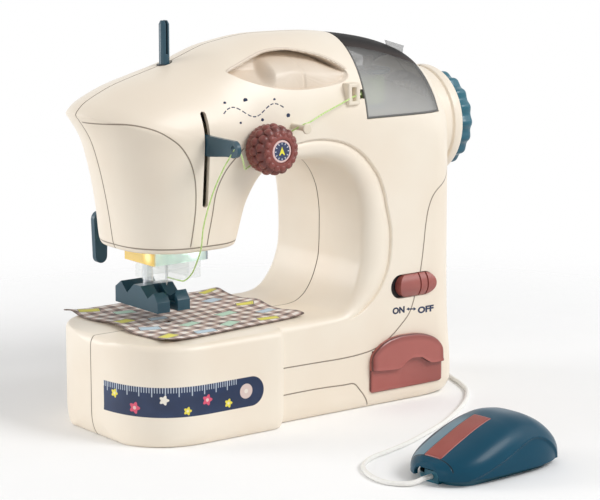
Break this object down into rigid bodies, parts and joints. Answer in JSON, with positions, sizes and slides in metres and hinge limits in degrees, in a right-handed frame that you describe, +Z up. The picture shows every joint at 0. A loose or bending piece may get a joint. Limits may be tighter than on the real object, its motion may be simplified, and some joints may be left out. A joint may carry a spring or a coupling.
{
  "type": "toy sewing machine",
  "caption": "Cream toy sewing machine with teal hand wheel, needle and presser foot, smoke spool cover, drawer, switch and a mouse-shaped foot pedal on a cord.",
  "frame": {"origin": "on the table under the middle of the base, at the underside of the bottom cover", "axes": "+X towards the hand wheel, -Y towards the operator, +Z up"},
  "size_m": [0.2639, 0.2691, 0.2276],
  "materials": {
    "cream_shell": "satin moulded",
    "cream_inner": "fine grain",
    "teal_plastic": "gloss moulded",
    "red_brown_plastic": "satin moulded",
    "navy_face": "printed disc",
    "dark_plastic": "fine grain",
    "pale_plastic": "moulded",
    "clear_plastic": "clear moulded",
    "smoke_plastic": "smoke tinted",
    "lamp_glow": "lit",
    "steel": "bright",
    "screw_steel": "zinc",
    "bush_brass": "turned",
    "cell_jacket": "plain jacket",
    "thread": "spun thread",
    "white_cord": "soft jacket",
    "cloth": "woven check"
  },
  "bodies": {
    "casing": {"front_shell": "cream_shell", "rear_shell": "cream_shell", "base_plate": "cream_inner", "base_screws": "screw_steel", "shell_screws": "screw_steel", "battery_box": "dark_plastic", "battery_cells": "cell_jacket", "battery_contacts": "steel", "battery_door": "cream_inner", "needle_plate": "steel", "chassis": "dark_plastic", "chassis_screws": "screw_steel", "shaft_bushes": "bush_brass", "motor": "steel", "presser_spring": "steel", "lamp_block": "clear_plastic", "lamps": "lamp_glow", "needle_guard": "clear_plastic", "tension_stud": "steel", "thread_peg": "cream_shell", "thread_guide": "cream_shell", "pin_sleeve": "dark_plastic", "spool_tray": "cream_inner", "lid_pins": "steel", "switch_plate": "dark_plastic", "switch_body": "dark_plastic", "drawer_sleeve": "cream_inner", "pedal_base": "dark_plastic", "pedal_spring": "steel", "pedal_switch": "dark_plastic", "cord": "white_cord", "cord_plug": "white_cord", "cloth": "cloth", "thread_fixed": "thread", "thread_slack": "thread"},
    "main_rotor": {"main_shaft": "steel", "crank_disc": "pale_plastic", "drive_gear": "pale_plastic", "handwheel": "teal_plastic"},
    "motor_rotor": {"motor_pinion": "pale_plastic"},
    "needle_carriage": {"needle_bar": "steel", "needle_yoke": "pale_plastic", "takeup_lever": "teal_plastic", "needle_clamp": "steel", "needle": "steel", "thread_needle": "thread"},
    "presser": {"presser_bar": "steel", "presser_foot": "teal_plastic"},
    "lifter": {"lifter_lever": "teal_plastic"},
    "tension_dial": {"tension_knob": "red_brown_plastic", "knob_face": "navy_face"},
    "reel_pin": {"spool_pin": "teal_plastic"},
    "spool": {"thread_spool": "teal_plastic", "spool_thread": "thread"},
    "cover": {"spool_cover": "smoke_plastic"},
    "switch": {"switch_slider": "red_brown_plastic"},
    "drawer_box": {"drawer": "red_brown_plastic"},
    "pedal_top": {"pedal_cover": "teal_plastic", "pedal_strip": "red_brown_plastic", "pedal_guides": "teal_plastic"}
  },
  "joints": [
    {"name": "wheel_turn", "type": "hinge", "parent": "casing", "child": "main_rotor", "pos_m": [0, 0, 0.157], "axis": [1, 0, 0], "continuous": true},
    {"name": "motor_spin", "type": "hinge", "parent": "casing", "child": "motor_rotor", "pos_m": [0.11, 0.015, 0.13102], "axis": [1, 0, 0], "continuous": true},
    {"name": "needle_slide", "type": "slide", "parent": "casing", "child": "needle_carriage", "axis": [0, 0, 1], "range_m": [-0.024, 0], "deforming": ["thread_slack"]},
    {"name": "presser_lift", "type": "slide", "parent": "casing", "child": "presser", "axis": [0, 0, 1], "range_m": [-0.006, 0], "deforming": ["presser_spring"]},
    {"name": "lifter_turn", "type": "hinge", "parent": "casing", "child": "lifter", "pos_m": [-0.064, 0.03, 0.1095], "axis": [0, -1, 0], "range_deg": [0, 90]},
    {"name": "tension_turn", "type": "hinge", "parent": "casing", "child": "tension_dial", "pos_m": [-0.023, -0.05, 0.1585], "axis": [0, -1, 0], "range_deg": [-150, 150]},
    {"name": "reel_pin_slide", "type": "slide", "parent": "casing", "child": "reel_pin", "axis": [0, 0, 1], "range_m": [-0.016, 0]},
    {"name": "spool_turn", "type": "hinge", "parent": "casing", "child": "spool", "pos_m": [0.084, 0, 0.18], "axis": [0, 0, 1], "continuous": true},
    {"name": "cover_open", "type": "hinge", "parent": "casing", "child": "cover", "pos_m": [0.077, 0.0415, 0.184], "axis": [-1, 0, 0], "range_deg": [0, 100]},
    {"name": "switch_slide", "type": "slide", "parent": "casing", "child": "switch", "axis": [1, 0, 0], "range_m": [-0.004, 0]},
    {"name": "drawer_slide", "type": "slide", "parent": "casing", "child": "drawer_box", "axis": [0, -1, 0], "range_m": [0, 0.04]},
    {"name": "pedal_press", "type": "slide", "parent": "casing", "child": "pedal_top", "axis": [0, 0, 1], "range_m": [-0.0025, 0], "stiffness_N_per_m": 800, "deforming": ["pedal_spring"]}
  ],
  "couplings": [
    {"joint": "motor_spin", "follows": "wheel_turn", "ratio": -4},
    {"joint": "lifter_turn", "follows": "presser_lift", "rad_per_m": -261.8}
  ]
}
